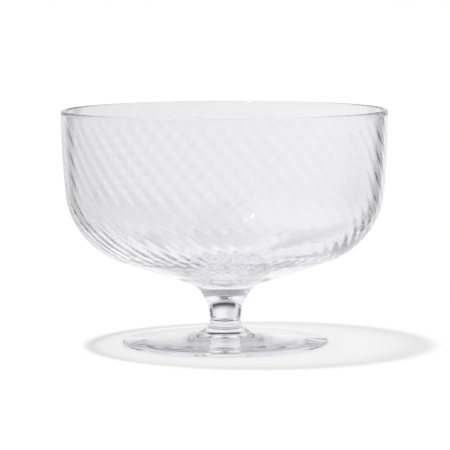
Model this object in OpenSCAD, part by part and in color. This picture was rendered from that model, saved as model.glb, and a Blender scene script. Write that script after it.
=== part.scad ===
// Ice cream coupe in clear blown glass: a wide bowl with fine twisted ribs inside,
// a short solid stem and a round foot. Bowl, stem and foot are one piece of glass.
// Millimetres, Z up, the foot stands on Z = 0 and the axis is the Z axis.

/* [Whole coupe] */
// Height from the table to the rim; the upright wall takes up what changes
height = 83; // [70:0.5:110]

/* [Bowl outside] */
// Outside width across the rim
rim_d = 115; // [105:0.5:130]
// How far the upright wall leans inwards at its lower end, in degrees
wall_lean = 5.5; // [2:0.5:8]
// Radius of the round corner under the wall
corner_r = 27.8; // [22:0.2:29]
// Slope of the underside between corner and neck, in degrees
under_slope = 18.75; // [14:0.25:20]

/* [Glass] */
// Thickness of the wall at the rim
rim_wall = 1.5; // [1.2:0.1:2.2]
// Thickness of the glass where the wall has turned into the underside
base_wall = 3; // [2.4:0.1:4.4]
// Radius of the bowl's rounded bottom, inside
bottom_r = 60; // [34:1:80]

/* [Twisted ribs] */
// Number of ribs around the bowl
rib_n = 56; // [24:2:60]
// Height of a rib over the groove beside it, on the upright wall
rib_h = 0.14; // [0.08:0.02:0.5]
// Turn of the ribs for each millimetre along the wall, in degrees
rib_twist = 0.87; // [0:0.01:1.2]
// Smooth band left below the rim
rib_clear = 0.5; // [0.5:0.5:8]
// Length over which the ribs rise below that band
rib_rise = 4.5; // [3:0.5:14]
// Way down the wall from the rim to where the ribs begin to sink
rib_sink = 36; // [16:1:42]
// Length over which they sink
sink_l = 16; // [8:1:24]
// Share of their height that is left on the lower corner
rib_low = 0.3; // [0:0.05:1]
// Radius within which the bottom of the bowl is smooth
rib_end = 20; // [8:1:24]

/* [Stem] */
// Width of the stem at its narrowest
stem_d = 10.9; // [8:0.1:14]
// Radius of the curve from the underside into the neck
neck_r = 8.8; // [5:0.1:10]
// Lean of the neck where that curve ends, in degrees
neck_lean = 37; // [25:1:38]
// Radius of the long curve from the neck into the stem
taper_r = 17.5; // [10:0.5:24]
// Length of the straight piece of stem above the foot
stem_l = 0.3; // [0:0.1:20]

/* [Foot] */
// Width of the foot
foot_d = 73; // [60:0.5:85]
// Thickness of the foot at its edge
foot_edge = 1.5; // [1.2:0.1:2]
// Slope of the foot's upper face, in degrees
foot_slope = 4.3; // [2:0.1:4.5]
// How far the curve from the stem into the foot reaches outwards
flare_w = 9.5; // [6:0.5:12]
// Height of that curve
flare_h = 5.4; // [4:0.1:5.5]
// Width of the shallow hollow under the foot
hollow_d = 52; // [30:1:56]
// Depth of that hollow in the middle
hollow_h = 1.1; // [0.6:0.1:1.6]

/* [Hidden] */
$fn = 96;

rim_r = rim_d / 2;
stem_r = stem_d / 2;
foot_r = foot_d / 2;

// Directions are degrees from straight down, positive when the glass turns inwards.
under_dir = 90 - under_slope;
foot_dir = foot_slope - 90;

// The lip is two quarter rounds with a hair of flat glass between them.
lip_r = 0.42 * rim_wall;

// Unit vectors along a stretch of outline and square to it, outwards.
function along(dir) = [-sin(dir), -cos(dir)];
function outwards(dir) = [cos(dir), -sin(dir)];

// Points of a round stretch that starts at p with direction a and ends with direction b.
function bend(p, r, a, b, n) =
    let (s = b > a ? 1 : -1)
    [for (i = [1:n]) p + s * r * (outwards(a + (b - a) * i / n) - outwards(a))];

function last(list) = list[len(list) - 1];

// Foot, from the round edge inwards: a shallow cone and a quarter of an ellipse up
// to the stem.
edge_r = foot_edge / 2;
edge_mid = [foot_r - edge_r, edge_r];
cone_end = edge_mid + edge_r * outwards(foot_dir);
edge = bend(cone_end, edge_r, foot_dir, 90, 10);
flare_end = atan(flare_h / (flare_w * tan(foot_slope)));
flare_x = stem_r + flare_w * (1 - cos(flare_end));
foot_z = cone_end[1] + (cone_end[0] - flare_x) * tan(foot_slope);
flare_z = foot_z + flare_h * sin(flare_end);
flare_steps = 12;
flare = [
    for (i = [0:flare_steps])
        let (t = flare_end * i / flare_steps)
        [stem_r + flare_w * (1 - cos(t)), flare_z - flare_h * sin(t)]
];

// Width and height of each stretch between the stem and the upright wall.
taper_w = taper_r * (1 - cos(neck_lean));
taper_h = taper_r * sin(neck_lean);
neck_w = neck_r * (cos(neck_lean) - cos(under_dir));
neck_h = neck_r * (sin(under_dir) - sin(neck_lean));
corner_w = corner_r * (cos(wall_lean) - cos(under_dir));
corner_h = corner_r * (sin(under_dir) - sin(wall_lean));
stem_top = flare_z + stem_l;

// The upright wall is what is left of the height, less the fall of the underside, which
// itself grows as the wall leans inwards by less.
fixed_h = lip_r + corner_h + neck_h + taper_h + stem_top;
fixed_w = corner_w + neck_w + taper_w + stem_r;
under_fall = tan(under_slope);
wall_in = tan(wall_lean / 2);
wall_h = (height - fixed_h - (rim_r - fixed_w) * under_fall) / (1 - wall_in * under_fall);
wall_r = wall_h / sin(wall_lean);

// Bowl outside, from the lip down to the stem.
lip_start = [rim_r - lip_r, height];
lip = bend(lip_start, lip_r, -90, 0, 6);
wall = bend(last(lip), wall_r, 0, wall_lean, 6);
corner = bend(last(wall), corner_r, wall_lean, under_dir, 20);
under_l = (last(corner)[0] - neck_w - taper_w - stem_r) / sin(under_dir);
under_end = last(corner) + under_l * along(under_dir);
neck = bend(under_end, neck_r, under_dir, neck_lean, 10);
taper = bend(last(neck), taper_r, neck_lean, 0, 8);

outline = concat(
    [[0, height], lip_start], lip, wall, corner,
    [under_end], neck, taper, flare, [cone_end], edge, [[0, 0]]
);

// The hollow under the foot is a shallow dome cut out of the flat face.
dome_r = (pow(hollow_d / 2, 2) + pow(hollow_h, 2)) / (2 * hollow_h);
dome_a = asin(hollow_d / 2 / dome_r);
dome = [
    for (i = [0:8])
        [dome_r * sin(dome_a * i / 8), hollow_h - dome_r * (1 - cos(dome_a * i / 8))]
];

// Bowl inside, as [radius, height, direction, distance along the wall] from the rim down.
function inside(p, dir, t, s) = let (q = p - t * outwards(dir)) [q[0], q[1], dir, s];

// The rings lie closer together near the rim, where the ribs rise.
wall_steps = 5;
in_wall = [
    for (i = [0:wall_steps])
        let (f = pow(i / wall_steps, 2), a = wall_lean * f)
        let (p = last(lip) + wall_r * (outwards(a) - outwards(0)))
        inside(p, a, rim_wall, wall_h * f)
];

corner_steps = 7;
corner_l = corner_r * (under_dir - wall_lean) * PI / 180;
in_corner = [
    for (i = [1:corner_steps])
        let (f = i / corner_steps, a = wall_lean + (under_dir - wall_lean) * f)
        let (p = last(wall) + corner_r * (outwards(a) - outwards(wall_lean)))
        inside(p, a, rim_wall + (base_wall - rim_wall) * f, wall_h + corner_l * f)
];

// The straight slope inside ends where the rounded bottom takes over.
in_start = last(in_corner);
bottom_x = bottom_r * sin(under_slope);
slope_l = (in_start[0] - bottom_x) / sin(under_dir);
slope_steps = 3;
in_slope = [
    for (i = [1:slope_steps])
        let (l = slope_l * i / slope_steps)
        [
            in_start[0] - l * sin(under_dir), in_start[1] - l * cos(under_dir),
            under_dir, in_start[3] + l
        ]
];

bottom_mid = last(in_slope)[1] + bottom_r * cos(under_slope);
in_bottom = [
    for (a = [3:-1:1])
        let (d = under_slope * a / 4)
        [
            bottom_r * sin(d), bottom_mid - bottom_r * cos(d),
            90 - d, last(in_slope)[3] + bottom_r * (under_slope - d) * PI / 180
        ]
];

// Inner half of the lip, drawn on past the top so that the cut comes out cleanly.
lip_in = last(lip) - [rim_wall, 0];
lip_mid = lip_in + [lip_r, 0];
lip_45 = lip_mid + lip_r * [-cos(45), sin(45)];
lip_out = lip_mid + lip_r * [-cos(70), sin(70)] + 1.2 * [sin(70), cos(70)];
in_lip = [[lip_out[0], lip_out[1], 0, 0], [lip_45[0], lip_45[1], 0, 0]];

rings = concat(in_lip, in_wall, in_corner, in_slope, in_bottom);

// Ribs rise below the smooth band, sink along the corner, because the glass is blown out
// furthest there, and die out on the floor of the bowl.
rib_full = rib_end + 12;
function held(x) = min(1, max(0, x));
function eased(x) = let (c = held(x)) c * c * (3 - 2 * c);
function relief(r, s) =
    rib_h * eased((s - rib_clear) / rib_rise)
    * (1 - (1 - rib_low) * eased((s - rib_sink) / sink_l))
    * eased((r - rib_end) / (rib_full - rib_end));

// Four points to a rib keep its crest and groove on whole columns of the mesh.
per_rib = 4;
cols = rib_n * per_rib;

// A rib is thicker glass, so its crest stands inwards from the bowl's inner face.
function rib_point(ring, j) =
    let (turn = 360 * j / cols + rib_twist * ring[3])
    let (in = relief(ring[0], ring[3]) * (1 + cos(360 * j / per_rib)) / 2)
    let (p = [ring[0], ring[1]] - in * outwards(ring[2]))
    [p[0] * cos(turn), p[0] * sin(turn), p[1]];

cavity_points = [for (ring = rings, j = [0:cols - 1]) rib_point(ring, j)];

function spot(i, j) = i * cols + (j + cols) % cols;

cavity_faces = concat(
    [[for (j = [cols - 1:-1:0]) spot(0, j)]],
    [for (i = [0:len(rings) - 2], j = [0:cols - 1]) [spot(i, j), spot(i, j + 1), spot(i + 1, j)]],
    [
        for (i = [0:len(rings) - 2], j = [0:cols - 1])
            [spot(i, j + 1), spot(i + 1, j + 1), spot(i + 1, j)]
    ],
    [[for (j = [0:cols - 1]) spot(len(rings) - 1, j)]]
);

// Inside of the bowl, with its twisted ribs.
module cavity() {
    polyhedron(cavity_points, cavity_faces, convexity = 6);
}

// The whole coupe: one piece of clear glass.
module coupe() {
    color([0.86, 0.9, 0.92, 0.4])
    difference() {
        rotate_extrude() polygon(outline);
        cavity();
        rotate_extrude() polygon(concat([[0, -1]], dome, [[hollow_d / 2, -1]]));
    }
}

coupe();
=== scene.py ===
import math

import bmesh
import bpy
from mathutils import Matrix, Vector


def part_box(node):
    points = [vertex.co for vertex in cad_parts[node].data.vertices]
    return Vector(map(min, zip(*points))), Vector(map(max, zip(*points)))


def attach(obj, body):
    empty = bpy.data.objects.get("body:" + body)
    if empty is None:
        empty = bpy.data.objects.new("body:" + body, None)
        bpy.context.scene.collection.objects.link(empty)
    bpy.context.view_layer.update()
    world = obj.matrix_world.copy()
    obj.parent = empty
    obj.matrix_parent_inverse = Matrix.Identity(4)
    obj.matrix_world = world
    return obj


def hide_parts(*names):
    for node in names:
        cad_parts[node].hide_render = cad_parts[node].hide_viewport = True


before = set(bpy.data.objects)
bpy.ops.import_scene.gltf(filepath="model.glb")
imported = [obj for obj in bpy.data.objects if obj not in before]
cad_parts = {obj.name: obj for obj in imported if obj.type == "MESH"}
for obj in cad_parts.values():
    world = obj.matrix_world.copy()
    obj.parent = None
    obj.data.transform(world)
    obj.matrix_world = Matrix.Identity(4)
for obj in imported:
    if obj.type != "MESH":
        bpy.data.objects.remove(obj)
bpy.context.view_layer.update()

# %% [markdown]
# # An ice cream coupe in clear blown glass
#
# The coupe is one piece of glass: a wide bowl with fine twisted ribs on its inner face,
# a short solid stem and a thin round foot. The CAD solid gives its size and its place.
# Clear glass shows every facet, because light bends at each of them, so this lesson makes
# the same form again with a much finer skin, and then lights it as a product is lit.

coupe_low, coupe_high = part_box("coupe")
print("CAD box of the coupe:", [round(v, 4) for v in (*coupe_low, *coupe_high)])

# %% [markdown]
# ## The camera
#
# The photograph was taken with a long lens from about a metre away, a little above the
# rim, so the rim and the foot show as narrow ellipses. A camera could be set by eye, but
# the two ellipses and the height between them fix its distance, its height and its tilt.
# It leans by a quarter of a degree, because the rim in the photograph is a little higher
# on its right.

# %% Camera from the two ellipses
PICTURE_PX = 450
FOCAL_PX = 2786.0
SENSOR_MM = 36.0
CAMERA_DISTANCE = 0.980
CAMERA_HEIGHT = 0.1382
CAMERA_DOWN = math.radians(5.60)
CAMERA_LEAN = math.radians(0.245)
NEAREST, FURTHEST = 0.05, 60.0

lens = bpy.data.cameras.new("photo_camera")
lens.sensor_width = SENSOR_MM
lens.lens = FOCAL_PX / PICTURE_PX * SENSOR_MM
lens.clip_start = NEAREST
lens.clip_end = FURTHEST
camera = bpy.data.objects.new("photo_camera", lens)
bpy.context.scene.collection.objects.link(camera)
camera.matrix_world = (
    Matrix.Translation((0.0, -CAMERA_DISTANCE, CAMERA_HEIGHT))
    @ Matrix.Rotation(math.pi / 2 - CAMERA_DOWN, 4, "X")
    @ Matrix.Rotation(-CAMERA_LEAN, 4, "Z")
)
bpy.context.scene.camera = camera
print("lens", round(lens.lens, 1), "mm, camera at", [round(v, 3) for v in camera.location])

# %% [markdown]
# ## The outer face
#
# A blown bowl turns against a mould, so every cut through its axis shows the same
# outline. It could be drawn point by point, but it is worked out here as a chain of
# straight and round stretches, each starting in the direction in which the last one ended.
# That is how the mould's drawing would give it, and it keeps the curve free of kinks,
# which clear glass would show as bright rings.

# %% Sizes of the coupe, in metres and degrees
HEIGHT = 0.083
RIM_R = 0.0575
WALL_H, WALL_LEAN = 0.0287, 5.5
CORNER_R, UNDER_SLOPE = 0.0278, 18.75
RIM_WALL, BASE_WALL, BOTTOM_R = 0.0015, 0.0030, 0.060
STEM_R = 0.00545
NECK_R, NECK_LEAN, TAPER_R = 0.0088, 37.0, 0.0175
FOOT_R, FOOT_EDGE, FOOT_SLOPE = 0.0365, 0.0015, 4.3
FLARE_W, FLARE_H = 0.0095, 0.0054
HOLLOW_R, HOLLOW_H = 0.026, 0.0011

# The lip is two quarter rounds. Directions are degrees from straight down, positive where
# the outline runs inwards.
LIP_SHARE = 0.42
LIP_R = LIP_SHARE * RIM_WALL
WALL_R = WALL_H / math.sin(math.radians(WALL_LEAN))
UNDER_DIR = 90.0 - UNDER_SLOPE
FOOT_DIR = FOOT_SLOPE - 90.0
print("rim", 2 * RIM_R, "m across, foot", 2 * FOOT_R, "m across, height", HEIGHT, "m")

# %% How finely each stretch is cut up
OUTER_STEPS = {
    "lip": 8, "wall": 10, "corner": 30, "underside": 6, "neck": 14, "taper": 12,
    "flare": 16, "foot": 5, "edge": 12, "ring": 2, "hollow": 9,
}
INNER_STEPS = {"wall": 18, "corner": 30, "slope": 16, "bottom": 10, "lip": 8}
print("steps outside and inside:", sum(OUTER_STEPS.values()), sum(INNER_STEPS.values()))


# %% Steps along the outline
def outwards(turn):
    """Unit vector (radius, height) out of the glass where the outline runs in direction
    turn."""
    a = math.radians(turn)
    return Vector((math.cos(a), -math.sin(a)))


def along(turn):
    """Unit vector in the direction in which the outline runs."""
    a = math.radians(turn)
    return Vector((-math.sin(a), -math.cos(a)))


def bend(start, radius, first, final, steps):
    """Points and directions of a round stretch after start."""
    side = 1 if final > first else -1
    turns = [first + (final - first) * i / steps for i in range(1, steps + 1)]
    return [(start + side * radius * (outwards(t) - outwards(first)), t) for t in turns]


def straight(start, end, turn, steps):
    """Points and directions of a straight stretch after start."""
    return [(start.lerp(end, i / steps), turn) for i in range(1, steps + 1)]


# %% Bowl, neck and stem from outside, from the middle of the lip down
def bowl_outside():
    n = OUTER_STEPS
    spots = [(Vector((RIM_R - LIP_R, HEIGHT)), -90.0)]
    spots += bend(spots[-1][0], LIP_R, -90.0, 0.0, n["lip"])
    spots += bend(spots[-1][0], WALL_R, 0.0, WALL_LEAN, n["wall"])
    spots += bend(spots[-1][0], CORNER_R, WALL_LEAN, UNDER_DIR, n["corner"])
    taper_w = TAPER_R * (1 - math.cos(math.radians(NECK_LEAN)))
    neck_w = NECK_R * (outwards(NECK_LEAN)[0] - outwards(UNDER_DIR)[0])
    start = spots[-1][0]
    length = (start[0] - STEM_R - taper_w - neck_w) / math.sin(math.radians(UNDER_DIR))
    spots += straight(start, start + along(UNDER_DIR) * length, UNDER_DIR, n["underside"])
    spots += bend(spots[-1][0], NECK_R, UNDER_DIR, NECK_LEAN, n["neck"])
    spots += bend(spots[-1][0], TAPER_R, NECK_LEAN, 0.0, n["taper"])
    return spots


# %% Foot from outside, from the stem to the middle of its hollow
def foot_outside():
    n = OUTER_STEPS
    edge_r = FOOT_EDGE / 2
    cone_end = Vector((FOOT_R - edge_r, edge_r)) + edge_r * outwards(FOOT_DIR)
    slope = math.tan(math.radians(FOOT_SLOPE))
    flare_end = math.atan(FLARE_H / (FLARE_W * slope))
    flare_x = STEM_R + FLARE_W * (1 - math.cos(flare_end))
    top = cone_end[1] + (cone_end[0] - flare_x) * slope + FLARE_H * math.sin(flare_end)
    spots = []
    for i in range(n["flare"] + 1):
        t = flare_end * i / n["flare"]
        turn = -math.degrees(math.atan2(FLARE_W * math.sin(t), FLARE_H * math.cos(t)))
        spot = Vector((STEM_R + FLARE_W * (1 - math.cos(t)), top - FLARE_H * math.sin(t)))
        spots.append((spot, turn))
    spots += straight(spots[-1][0], cone_end, FOOT_DIR, n["foot"])
    spots += bend(cone_end, edge_r, FOOT_DIR, 90.0, n["edge"])
    spots += straight(spots[-1][0], Vector((HOLLOW_R, 0.0)), 90.0, n["ring"])
    dome_r = (HOLLOW_R**2 + HOLLOW_H**2) / (2 * HOLLOW_H)
    reach = math.degrees(math.asin(HOLLOW_R / dome_r))
    for i in range(1, n["hollow"] + 1):
        t = math.radians(reach * (1 - i / n["hollow"]))
        spot = Vector((dome_r * math.sin(t), HOLLOW_H - dome_r * (1 - math.cos(t))))
        spots.append((spot, 90.0 - math.degrees(t)))
    return spots


bowl, foot = bowl_outside(), foot_outside()
print("outer face:", len(bowl) + len(foot), "points, foot meets stem at",
      round(foot[0][0][1], 4), "m")

# %% [markdown]
# ## The inner face
#
# Inside, the bowl follows the outer face at the thickness of the glass, which grows from
# the rim towards the bottom as the gather runs down in blowing. The inner face could be a
# curve of its own, but as an offset it can't come too near the outer one. The glass begins
# to thicken softly, because a kink there would show as a row of false bubbles. Each point
# also keeps its way along the wall from the rim, because the ribs turn with that way.

# %% Thickness of the glass round the corner
SOFT_START = 0.35


def gentle(f):
    """f with a soft start, so that the wall begins to thicken without a kink."""
    slope = 1.0 / (1.0 - SOFT_START / 2)
    return slope * (f * f / (2 * SOFT_START) if f < SOFT_START else f - SOFT_START / 2)


print("share of the thickening half way round:", round(gentle(0.5), 3))


# %% Wall and corner from inside, each point with its direction and its way from the rim
def wall_inside():
    lip_end = Vector((RIM_R, HEIGHT - LIP_R))
    spots = []
    for i in range(INNER_STEPS["wall"] + 1):
        f = i / INNER_STEPS["wall"]
        a = WALL_LEAN * f
        p = lip_end + WALL_R * (outwards(a) - outwards(0.0)) - RIM_WALL * outwards(a)
        spots.append((p, a, WALL_H * f))
    wall_end = lip_end + WALL_R * (outwards(WALL_LEAN) - outwards(0.0))
    sweep = UNDER_DIR - WALL_LEAN
    corner_l = CORNER_R * math.radians(sweep)
    for i in range(1, INNER_STEPS["corner"] + 1):
        f = i / INNER_STEPS["corner"]
        a = WALL_LEAN + sweep * f
        p = wall_end + CORNER_R * (outwards(a) - outwards(WALL_LEAN))
        p -= (RIM_WALL + (BASE_WALL - RIM_WALL) * gentle(f)) * outwards(a)
        spots.append((p, a, WALL_H + corner_l * f))
    return spots


# %% Floor of the bowl, after the corner
def floor_inside(start, way):
    steep = math.radians(UNDER_SLOPE)
    length = (start[0] - BOTTOM_R * math.sin(steep)) / math.sin(math.radians(UNDER_DIR))
    spots = []
    for i in range(1, INNER_STEPS["slope"] + 1):
        part = length * i / INNER_STEPS["slope"]
        spots.append((start + along(UNDER_DIR) * part, UNDER_DIR, way + part))
    middle = spots[-1][0][1] + BOTTOM_R * math.cos(steep)
    way = spots[-1][2]
    for i in range(1, INNER_STEPS["bottom"] + 1):
        d = steep * (1 - i / INNER_STEPS["bottom"])
        p = Vector((BOTTOM_R * math.sin(d), middle - BOTTOM_R * math.cos(d)))
        spots.append((p, 90.0 - math.degrees(d), way + BOTTOM_R * (steep - d)))
    return spots


# %% Inner half of the lip, which carries no ribs
def lip_inside():
    mid = Vector((RIM_R - RIM_WALL + LIP_R, HEIGHT - LIP_R))
    turns = [math.pi / 2 * i / INNER_STEPS["lip"] for i in range(1, INNER_STEPS["lip"] + 1)]
    return [mid + LIP_R * Vector((-math.cos(a), math.sin(a))) for a in turns]


inner = wall_inside()
inner += floor_inside(inner[-1][0], inner[-1][2])
print("inner face:", len(inner), "points, bottom at", round(inner[-1][0][1], 4), "m")

# %% Whole outline as a line of points, from the bottom of the bowl up and round
RIBBED, SMOOTH = 1.0, 0.0

profile = [(p, a, way, RIBBED) for p, a, way in reversed(inner)]
profile += [(p, 0.0, 0.0, SMOOTH) for p in lip_inside()]
profile += [(p, a, 0.0, SMOOTH) for p, a in bowl + foot]
profile[0][0][0] = profile[-1][0][0] = 0.0

line = bpy.data.meshes.new("coupe_outline")
line.from_pydata(
    [(p[0], 0.0, p[1]) for p, _, _, _ in profile],
    [(i, i + 1) for i in range(len(profile) - 1)],
    [],
)
for label, values in {
    "way": [row[2] for row in profile],
    "inside": [row[3] for row in profile],
    "out_r": [outwards(row[1])[0] for row in profile],
    "out_z": [outwards(row[1])[1] for row in profile],
}.items():
    line.attributes.new(label, "FLOAT", "POINT").data.foreach_set("value", values)
coupe = bpy.data.objects.new("coupe_glass", line)
bpy.context.scene.collection.objects.link(coupe)
print("outline:", len(profile), "points")

# %% [markdown]
# ## Nodes as expressions
#
# The form, the glass and the room are all written as sums. They could be wired node by
# node, but nobody could read the sums then. A small class wraps one socket of a node and
# overloads the operators, so that a line of Python adds the Math nodes that it needs.
# Every other node comes from one method of the tree's own wrapper, which takes the node's
# type, its settings and the values or links of its sockets.


# %% A tree whose nodes come from one method
class Net:
    def __init__(self, tree):
        self.tree = tree
        tree.nodes.clear()

    def add(self, kind, settings=None, output=0, **sockets):
        """Adds one node and returns its chosen output. A socket is given by its name, or
        by its number after an underscore."""
        node = self.tree.nodes.new(kind)
        for key, value in (settings or {}).items():
            setattr(node, key, value)
        for key, value in sockets.items():
            socket = node.inputs[int(key[1:]) if key.startswith("_") else key]
            if isinstance(value, Wire):
                self.tree.links.new(value.socket, socket)
            else:
                socket.default_value = value
        return Wire(self, node.outputs[output]) if node.outputs else None


# %% A socket that can be added and multiplied
class Wire:
    def __init__(self, net, socket):
        self.net, self.socket = net, socket

    def maths(self, operation, *others):
        values = {f"_{i}": value for i, value in enumerate((self, *others))}
        return self.net.add("ShaderNodeMath", {"operation": operation}, **values)

    def other(self, output):
        """Another output of the same node."""
        return Wire(self.net, self.socket.node.outputs[output])

    def __add__(self, value):
        return self.maths("ADD", value)

    __radd__ = __add__

    def __mul__(self, value):
        return self.maths("MULTIPLY", value)

    __rmul__ = __mul__

    def __sub__(self, value):
        return self.maths("SUBTRACT", value)

    def __rsub__(self, value):
        return self.maths("MULTIPLY", -1.0) + value

    def __truediv__(self, value):
        return self.maths("DIVIDE", value)

    def eased(self, low, high):
        """0 below low, 1 above high and a smooth rise between them."""
        return self.net.add(
            "ShaderNodeMapRange", {"interpolation_type": "SMOOTHSTEP", "clamp": True},
            Value=self, **{"From Min": low, "From Max": high},
        )

    def between(self, rise, fall):
        """1 from the end of the rise to the start of the fall, and 0 outside them."""
        return self.eased(*rise) * (1.0 - self.eased(*fall))


# %% Small helpers for colours and rays
def mixed(net, share, first, second):
    """Colour between first and second."""
    return net.add("ShaderNodeMix", {"data_type": "RGBA"}, 2, _0=share, _6=first, _7=second)


def grey(net, level):
    """Grey of this level."""
    return mixed(net, level, (0, 0, 0, 1), (1, 1, 1, 1))


def ray_kinds(net):
    """1 for a ray straight from the camera, and 1 for one that glass has bent."""
    from_camera = net.add("ShaderNodeLightPath", None, "Is Camera Ray")
    through = from_camera.other("Is Transmission Ray")
    return from_camera, from_camera.other("Is Glossy Ray").maths("MAXIMUM", through)


# %% [markdown]
# ## The ribbed skin
#
# The gather is first blown into a mould with grooves, which leaves ribs on the glass. It
# is then turned while soft, so the ribs wind round, and blown out against a smooth mould,
# which presses the outside flat and leaves the ribs inside. The ribs could be cut one by
# one with a bent profile, but a rule is shorter and truer: the tree below turns the outline
# round the axis, winds the columns of the inner face by their way along the wall, and
# thickens the glass where a rib runs. The ribs are under a tenth of a millimetre high.
# Higher ones would bend the far wall's ribs out of sight, and the fine lattice that near
# and far ribs draw together would be lost.

# %% Inputs of the tree, in metres
tree_inputs = {
    "Ribs": ("NodeSocketInt", 56),
    "Columns per rib": ("NodeSocketInt", 8),
    "Rib height": ("NodeSocketFloat", 0.00008),
    "Twist per metre": ("NodeSocketFloat", math.radians(0.87) * 1000),
    "Clear band": ("NodeSocketFloat", 0.0005),
    "Full from": ("NodeSocketFloat", 0.005),
    "Sinks from": ("NodeSocketFloat", 0.036),
    "Low from": ("NodeSocketFloat", 0.052),
    "Low share": ("NodeSocketFloat", 0.6),
    "Gone at radius": ("NodeSocketFloat", 0.020),
    "Full at radius": ("NodeSocketFloat", 0.032),
}
spin_tree = bpy.data.node_groups.new("ribbed_glass", "GeometryNodeTree")
spin = Net(spin_tree)
face = spin_tree.interface
face.new_socket("Outline", in_out="INPUT", socket_type="NodeSocketGeometry")
for label, (kind, _) in tree_inputs.items():
    face.new_socket(label, in_out="INPUT", socket_type=kind)
face.new_socket("Glass", in_out="INPUT", socket_type="NodeSocketMaterial")
face.new_socket("Coupe", in_out="OUTPUT", socket_type="NodeSocketGeometry")
print("inputs of the tree:", ", ".join(tree_inputs))

# %% A net with one row for each point of the outline
HAIR = 1e-5

entry = spin.add("NodeGroupInput")
given = {label: entry.other(label) for label in ("Outline", "Glass", *tree_inputs)}
columns = given["Ribs"] * given["Columns per rib"]
rows = spin.add("GeometryNodeAttributeDomainSize", {"component": "MESH"},
                Geometry=given["Outline"])
net = spin.add("GeometryNodeMeshGrid", None, **{"Vertices X": rows, "Vertices Y": columns + 1})
index = spin.add("GeometryNodeInputIndex")
row = (index / (columns + 1) + HAIR).maths("FLOOR")
column = index - row * (columns + 1)


def of_row(value, kind):
    """What the outline holds at the point that belongs to this row."""
    return spin.add("GeometryNodeSampleIndex", {"data_type": kind, "domain": "POINT"},
                    Geometry=given["Outline"], Value=value, Index=row)


def kept(label):
    """A number that the outline keeps under this name."""
    value = spin.add("GeometryNodeInputNamedAttribute", {"data_type": "FLOAT"}, Name=label)
    return of_row(value, "FLOAT")


here = of_row(spin.add("GeometryNodeInputPosition"), "FLOAT_VECTOR")
radius = spin.add("ShaderNodeSeparateXYZ", None, "X", Vector=here)
height = radius.other("Z")
way, inside = kept("way"), kept("inside")
print("nodes so far:", len(spin_tree.nodes))

# %% Wind the columns and raise the ribs
turn = column / columns * math.tau + given["Twist per metre"] * way * inside
wave = ((column / given["Columns per rib"] * math.tau).maths("COSINE") + 1.0) * 0.5
sunk = 1.0 - (1.0 - given["Low share"]) * way.eased(given["Sinks from"], given["Low from"])
relief = (given["Rib height"] * inside * wave * sunk
          * way.eased(given["Clear band"], given["Full from"])
          * radius.eased(given["Gone at radius"], given["Full at radius"]))
ring_r = radius - relief * kept("out_r")
ring_z = height - relief * kept("out_z")
where = spin.add("ShaderNodeCombineXYZ", None,
                 X=ring_r * turn.maths("COSINE"), Y=ring_r * turn.maths("SINE"), Z=ring_z)
print("nodes with the ribs:", len(spin_tree.nodes))

# %% Close the skin and give it its glass
SEAM = 1e-6

skin = spin.add("GeometryNodeSetPosition", None, Geometry=net, Position=where)
skin = spin.add("GeometryNodeStoreNamedAttribute", {"data_type": "FLOAT", "domain": "POINT"},
                Geometry=skin, Name="inner_side", Value=inside)
skin = spin.add("GeometryNodeMergeByDistance", None, Geometry=skin, Distance=SEAM)
skin = spin.add("GeometryNodeSetShadeSmooth", None, Geometry=skin, **{"Shade Smooth": True})
skin = spin.add("GeometryNodeRealizeInstances", None, Geometry=skin)
skin = spin.add("GeometryNodeSetMaterial", None, Geometry=skin, Material=given["Glass"])
spin.add("NodeGroupOutput", None, Coupe=skin)
print("tree:", len(spin_tree.nodes), "nodes")

# %% [markdown]
# ## Clear glass
#
# Soda-lime glass bends light by about 1.5 and mirrors a little of it at every face. It
# could be a see-through colour, but then the ribs would not show, because they show only
# by bending light. Blown glass is never quite even, so a slow swell in the surface and a
# faint change of tone keep the reflections alive. Low in the bowl the turned ribs crowd
# together and leave a ring of fine dents, which rounded cells draw on the inner face
# alone. The body of the glass also takes a little of the light, which shows in the stem.

# %% Tone, swell and dents
TINTS = (0.974, 0.971, 0.985, 1), (0.985, 0.982, 0.995, 1)
TINT_SCALE, SWELL_SCALE, DENT_SCALE = 18.0, 55.0, 330.0
SWELL_DEPTH, DENT_DEPTH = 0.03, 0.15
DENTS_FROM_MM, DENTS_TO_MM = (31, 34), (40, 43)
MM_PER_M = 1000.0

glass = bpy.data.materials.new("clear_blown_glass")
glass.use_nodes = True
blown = Net(glass.node_tree)
at = blown.add("ShaderNodeTexCoord", None, "Object")
tone = blown.add("ShaderNodeTexNoise", None, "Fac", Vector=at, Scale=TINT_SCALE, Detail=2.0)
swell = blown.add("ShaderNodeTexNoise", None, "Fac", Vector=at, Scale=SWELL_SCALE, Detail=1.0)
at_x = blown.add("ShaderNodeSeparateXYZ", None, "X", Vector=at)
at_y, at_z = at_x.other("Y"), at_x.other("Z")
out_mm = (at_x * at_x + at_y * at_y).maths("SQRT") * MM_PER_M
ring = (blown.add("ShaderNodeAttribute", {"attribute_name": "inner_side"}, "Fac")
        * out_mm.between(DENTS_FROM_MM, DENTS_TO_MM))
dents = blown.add("ShaderNodeTexVoronoi", {"feature": "SMOOTH_F1"}, "Distance",
                  Vector=at, Scale=DENT_SCALE, Smoothness=0.4)
ripple = blown.add("ShaderNodeBump", None, "Normal", Strength=1.0, Distance=0.001,
                   Height=swell * SWELL_DEPTH + dents * ring * DENT_DEPTH)
print("nodes of the surface:", len(glass.node_tree.nodes))

# %% Body of the glass
GLASS_IOR = 1.5
ABSORBS, ABSORBS_PER_M = (0.80, 0.80, 0.90, 1), 5.0

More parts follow.
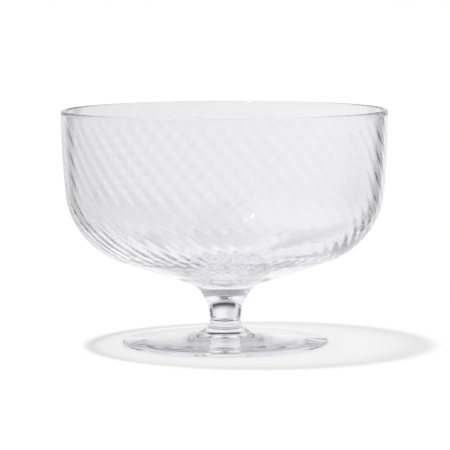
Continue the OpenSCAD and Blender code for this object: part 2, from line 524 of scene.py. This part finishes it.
body = blown.add("ShaderNodeBsdfPrincipled", None, "BSDF", **{
    "Base Color": mixed(blown, tone, *TINTS), "Normal": ripple, "IOR": GLASS_IOR,
    "Transmission Weight": 1.0, "Roughness": 0.0,
})
depth = blown.add("ShaderNodeVolumeAbsorption", None, "Volume",
                  Color=ABSORBS, Density=ABSORBS_PER_M)
print("glass bends light by", GLASS_IOR)

# %% [markdown]
# ## The shadow of the glass
#
# Light that goes on to the paper can't be followed through all its bends in a picture of
# this size. The glass could cast no shadow at all, but then it would float. So for rays to
# the lamp it is a thin veil that darkens where the wall is met at a slant, as the edge of a
# real shadow does. The veil is a little darker above the foot, because the bowl spreads its
# light and the foot, flat on the paper, doesn't.

# %% Veil for shadow rays
PALE_VEIL, DARK_VEIL = (0.97, 0.97, 0.97, 1), (0.66, 0.66, 0.66, 1)
FOOT_TOP_MM = (6, 12)
BOWL_SHARE = 0.16

slant = blown.add("ShaderNodeLayerWeight", None, "Facing", Blend=0.3)
pale = blown.add("ShaderNodeBsdfTransparent", None, "BSDF", Color=PALE_VEIL)
dark = blown.add("ShaderNodeBsdfTransparent", None, "BSDF", Color=DARK_VEIL)
above_foot = (at_z * MM_PER_M).eased(*FOOT_TOP_MM)
veil = blown.add("ShaderNodeMixShader", None, "Shader", _1=pale, _2=dark,
                 _0=slant + (1.0 - slant) * above_foot * BOWL_SHARE)
shadow_ray = blown.add("ShaderNodeLightPath", None, "Is Shadow Ray")
not_bent = shadow_ray.maths("MAXIMUM", shadow_ray.other("Is Diffuse Ray"))
seen_as = blown.add("ShaderNodeMixShader", None, "Shader", _0=not_bent, _1=body, _2=veil)
blown.add("ShaderNodeOutputMaterial", None, Surface=seen_as, Volume=depth)
print("glass:", len(glass.node_tree.nodes), "nodes")

# %% Run the tree and keep the result as a plain mesh
maker = coupe.modifiers.new("ribbed_glass", "NODES")
maker.node_group = spin_tree
key = {
    item.name: item.identifier for item in face.items_tree
    if item.item_type == "SOCKET" and item.in_out == "INPUT"
}
for label, (_, value) in tree_inputs.items():
    maker[key[label]] = value
maker[key["Glass"]] = glass
bpy.context.view_layer.update()
made = coupe.evaluated_get(bpy.context.evaluated_depsgraph_get())
mesh = bpy.data.meshes.new_from_object(made)
coupe.modifiers.remove(maker)
coupe.data = mesh
print("plain mesh:", len(mesh.polygons), "faces")

# %% Turn the faces outwards and measure the skin
work = bmesh.new()
work.from_mesh(mesh)
bmesh.ops.recalc_face_normals(work, faces=work.faces)
open_edges = sum(1 for edge in work.edges if len(edge.link_faces) != 2)
triangles = sum(len(f.verts) - 2 for f in work.faces)
volume = work.calc_volume(signed=True)
work.to_mesh(mesh)
work.free()
print("skin:", len(mesh.vertices), "points,", triangles, "triangles,", open_edges,
      "open edges,", round(volume * 1e6, 2), "cm3")

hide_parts("coupe")
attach(coupe, "root")

# %% [markdown]
# ## The paper
#
# The coupe stands on white paper, and the camera sees nothing but white round it. The
# paper could be a wide sweep, but glass shows every edge of its surroundings as a fine
# line, so it is a short narrow strip whose brightness meets that of the room at its ends.
# The foot gathers light on the paper under it, which isn't followed here, so that light is
# painted on the paper there, for bent rays only. To the left behind, and further out on both
# sides, shade is painted on the paper, and bent rays find it dimmer: that is where the room's
# cards stand.

# %% Strip of paper, in metres
PAPER_HALF_W = 0.10
PAPER_FRONT, PAPER_BACK = -0.35, 0.45
FLOOR_GAP = 0.0001

corners = [(-PAPER_HALF_W, PAPER_FRONT), (PAPER_HALF_W, PAPER_FRONT),
           (PAPER_HALF_W, PAPER_BACK), (-PAPER_HALF_W, PAPER_BACK)]
floor_mesh = bpy.data.meshes.new("floor")
floor_mesh.from_pydata([(x, y, -FLOOR_GAP) for x, y in corners], [], [(0, 1, 2, 3)])
floor = bpy.data.objects.new("floor", floor_mesh)
bpy.context.scene.collection.objects.link(floor)
print("paper:", 2 * PAPER_HALF_W, "m wide,", PAPER_BACK - PAPER_FRONT, "m long")

# %% Paper material: distances in metres, directions in degrees from straight behind
PAPER_WHITE = 0.9
CAMERA_LIFT, CAMERA_FAR_LIFT = 0.12, 0.05
FOOT_PAINTED_LIGHT, FAR_GLOW = 0.27, 0.015
NEAR_ENDS, FAR_STARTS, DIM_STARTS = (0.04, 0.10), (0.20, 0.45), (0.10, 0.20)
WEST_RISE, WEST_FALL, WEST_PAINTED_SHADE = (-4, 10), (16, 28), 0.17
EDGE_RISE, EDGE_FALL, EDGE_PAINTED_SHADE = (26, 34), (42, 52), 0.45

paper = bpy.data.materials.new("white_paper")
paper.use_nodes = True
sheet = Net(paper.node_tree)
from_camera, bent = ray_kinds(sheet)
on_sheet = sheet.add("ShaderNodeTexCoord", None, "Object")
distance = sheet.add("ShaderNodeVectorMath", {"operation": "LENGTH"}, "Value", _0=on_sheet)
near = 1.0 - distance.eased(*NEAR_ENDS)
far = distance.eased(*FAR_STARTS)
sheet_x = sheet.add("ShaderNodeSeparateXYZ", None, "X", Vector=on_sheet)
right_deg = sheet_x.maths("ARCTAN2", sheet_x.other("Y")) * math.degrees(1.0)
left_deg = -1.0 * right_deg
# Painted shade: the paper is made darker where the room's cards stand. Camera rays get it
# added back below, so they still see white.
painted_shade = distance.eased(*DIM_STARTS) * (
    left_deg.between(WEST_RISE, WEST_FALL) * WEST_PAINTED_SHADE
    + right_deg.maths("ABSOLUTE").between(EDGE_RISE, EDGE_FALL) * EDGE_PAINTED_SHADE)
matt = sheet.add("ShaderNodeBsdfDiffuse", None, "BSDF",
                 Color=grey(sheet, PAPER_WHITE * (1.0 - painted_shade)))
# Painted light: for bent rays the paper is made brighter under the foot, in place of the light
# that the foot gathers there.
lift = sheet.add("ShaderNodeEmission", None, "Emission", Strength=1.0, Color=grey(
    sheet, bent * (near * FOOT_PAINTED_LIGHT + far * FAR_GLOW)
    + from_camera * (CAMERA_LIFT + far * CAMERA_FAR_LIFT + painted_shade)))
both = sheet.add("ShaderNodeAddShader", None, "Shader", _0=matt, _1=lift)
sheet.add("ShaderNodeOutputMaterial", None, Surface=both)
floor_mesh.materials.append(paper)
print("paper:", len(paper.node_tree.nodes), "nodes")

# %% [markdown]
# ## The room
#
# Glass has no colour of its own: it shows what stands round it. A photographer hangs dark
# cards beside and over the white background, just outside the picture, and the slanting
# glass at the edges of bowl and stem bends their light in and draws itself as grey lines.
# The cards could be boards in the scene, but then the paper would catch their shade. So
# they are painted on the room, and only bent rays see them. Behind on the left the
# background darkens slowly. That slope, and not an edge, lets the near and the far ribs
# draw their lattice.

# %% Brightness of the room, and where it changes, in degrees
BACK_WALL, SIDE_WALL, FRONT_WALL = 0.90, 0.60, 0.85
TO_SIDE, TO_FRONT = (16, 44), (70, 110)
TABLE_LINE, LOW_CARDS_END = (-3, 1), (15, 22)
DOWN_SHARE, UP_GAIN, UP_GAINS = 0.96, 0.08, (-12, 4)
BANK_MIDDLE, BANK_SIDES = 0.25, 0.70
BANK_STARTS, BANK_MIDDLE_STARTS = (26, 36), (38, 46)
BANK_ASIDE = (0.10, 0.35)

world = bpy.data.worlds.new("studio")
bpy.context.scene.world = world
world.use_nodes = True
room = Net(world.node_tree)
way_out = room.add("ShaderNodeTexCoord", None, "Generated")
east = room.add("ShaderNodeSeparateXYZ", None, "X", Vector=way_out)
east_deg = east.maths("ARCTAN2", east.other("Y")) * math.degrees(1.0)
west_deg = -1.0 * east_deg
aside_deg = east_deg.maths("ABSOLUTE")
up_deg = east.other("Z").maths("ARCSINE") * math.degrees(1.0)
above_table = up_deg.eased(*TABLE_LINE)
below_table = 1.0 - above_table
walls = (BACK_WALL + (SIDE_WALL - BACK_WALL) * aside_deg.eased(*TO_SIDE) * above_table
         + (FRONT_WALL - SIDE_WALL) * aside_deg.eased(*TO_FRONT) * above_table)
walls = walls * (DOWN_SHARE + UP_GAIN * up_deg.eased(*UP_GAINS))
off_middle = east.maths("ABSOLUTE").eased(*BANK_ASIDE)
under_middle = 1.0 - up_deg.eased(*BANK_MIDDLE_STARTS)
bank = BANK_MIDDLE + BANK_SIDES * off_middle.maths("MAXIMUM", under_middle)
above = up_deg.eased(*BANK_STARTS)
level = walls * (1.0 - above) + bank * above
print("walls:", BACK_WALL, SIDE_WALL, FRONT_WALL)

# %% Cards: where each one starts and ends, how high it hangs, and its brightness
BESIDE, EAST_EDGE = ((39, 46), (66, 80)), ((25, 33), (43, 53))
OVER_UP, OVER_EAST_END, OVER_WEST_END = ((7, 20), (29, 35)), (34, 42), (22, 30)

low = 1.0 - up_deg.eased(*LOW_CARDS_END)
over_middle = (1.0 - east_deg.eased(*OVER_EAST_END)) * (1.0 - west_deg.eased(*OVER_WEST_END))
cards = {
    "beside": (aside_deg.between(*BESIDE) * low * above_table, 0.08),
    "west": (west_deg.between(WEST_RISE, WEST_FALL) * low, 0.73),
    "west_edge": (west_deg.between(EDGE_RISE, EDGE_FALL) * below_table, 0.24),
    "east_edge": (east_deg.between(*EAST_EDGE) * below_table, 0.06),
    "over": (up_deg.between(*OVER_UP) * over_middle, 0.02),
}
for card, shade in cards.values():
    level = level * (1.0 - card) + card * shade
print("cards:", ", ".join(cards))

# %% What each kind of ray sees
ROOM_LIGHT = 0.50

from_camera, bent = ray_kinds(room)
seen = (level * bent + ROOM_LIGHT * (1.0 - bent)).maths("MAXIMUM", from_camera)
sky = room.add("ShaderNodeBackground", None, "Background", Color=(1, 1, 1, 1), Strength=seen)
room.add("ShaderNodeOutputWorld", None, Surface=sky)
print("room:", len(world.node_tree.nodes), "nodes")

# %% [markdown]
# ## The lamp
#
# One soft lamp hangs high on the left and throws the coupe's shadow to the right. It could
# be a sun, but the rings in the photograph's shadow have a soft edge, and a small disk at
# this height gives them the same width.

# %% Lamp
LAMP_PLACE = Vector((-0.226, 0.05, 1.5))
LAMP_ACROSS, LAMP_WATTS = 0.09, 12.0

lamp_data = bpy.data.lights.new("top_lamp", "AREA")
lamp_data.shape = "DISK"
lamp_data.size = LAMP_ACROSS
lamp_data.energy = LAMP_WATTS
lamp = bpy.data.objects.new("top_lamp", lamp_data)
bpy.context.scene.collection.objects.link(lamp)
aim = (-LAMP_PLACE).to_track_quat("-Z", "Y").to_matrix().to_4x4()
lamp.matrix_world = Matrix.Translation(LAMP_PLACE) @ aim
print("lamp at", [round(v, 3) for v in LAMP_PLACE])

# %% [markdown]
# ## Picture settings
#
# Light that gets into clear glass can run along the wall for dozens of bounces before it
# comes out. Where the renderer stops too soon, such a path ends black, and the corner of
# the bowl fills with black lines that the real glass doesn't have. A dozen bounces would be
# quicker, but those lines would spoil the picture.

# %% Bounces and tone
BOUNCES, VEIL_BOUNCES = 96, 24

scene = bpy.context.scene
scene.view_settings.view_transform = "Standard"
scene.cycles.max_bounces = BOUNCES
scene.cycles.transmission_bounces = BOUNCES
scene.cycles.glossy_bounces = BOUNCES
scene.cycles.transparent_max_bounces = VEIL_BOUNCES
print("bounces:", BOUNCES)
